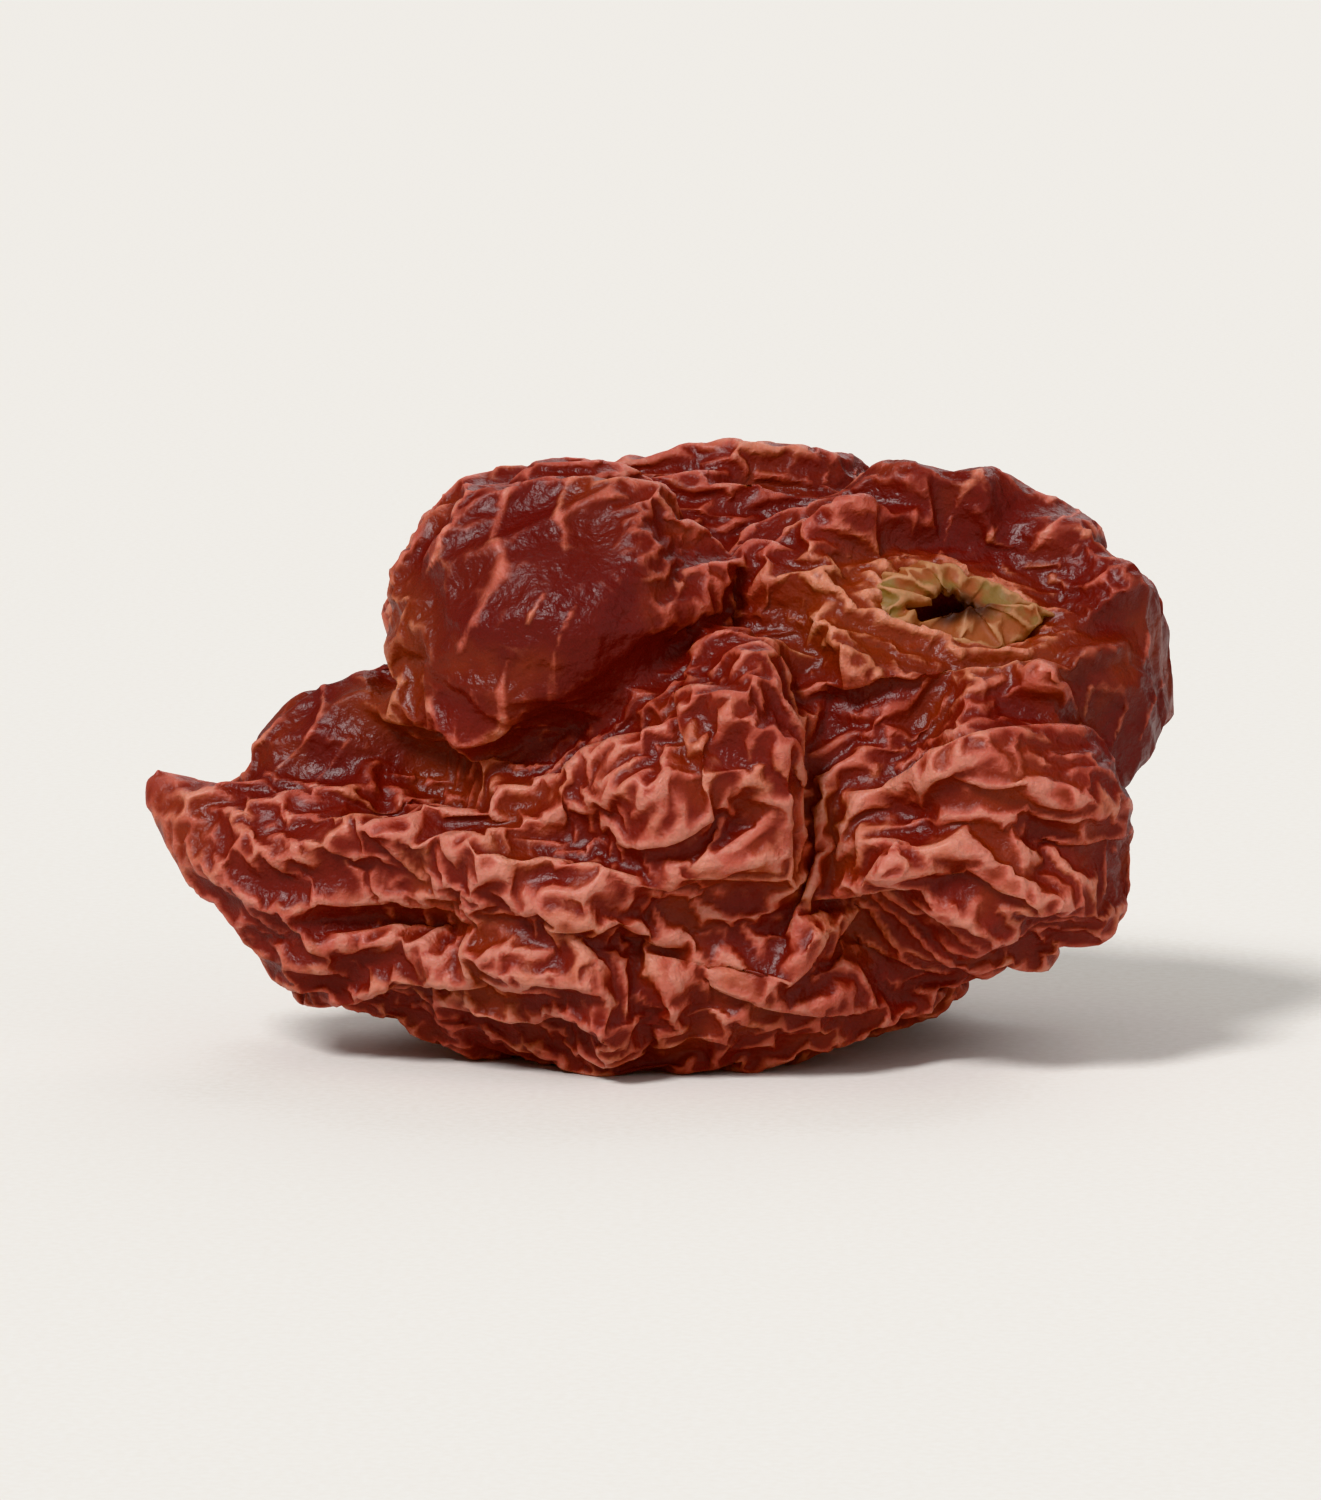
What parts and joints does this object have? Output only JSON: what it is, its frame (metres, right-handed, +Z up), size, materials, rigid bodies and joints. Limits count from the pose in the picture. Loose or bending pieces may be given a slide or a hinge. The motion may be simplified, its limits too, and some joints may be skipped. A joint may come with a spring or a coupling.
{
  "type": "dried carolina reaper pepper",
  "caption": "Whole dried superhot pepper pod, wrinkled and lobed with a pointed tail, its stem pulled out to leave a torn calyx ring.",
  "frame": {"origin": "centre of the pod's bounding box in X and Y, on the plane it rests on", "axes": "+X from the pointed tail to the blunt stem end, +Y to the pod's back, +Z up"},
  "size_m": [0.03, 0.0176, 0.0173],
  "materials": {
    "dried_pepper_skin": "dry wrinkled translucent skin with a soft gloss, dark maroon in the hollows and salmon orange on the crests",
    "dry_calyx": "dry matt plant tissue, pale yellow green to tan, darker round the tear"
  },
  "bodies": {
    "root": {"pod": "dried_pepper_skin", "calyx_ring": "dry_calyx"}
  },
  "joints": []
}
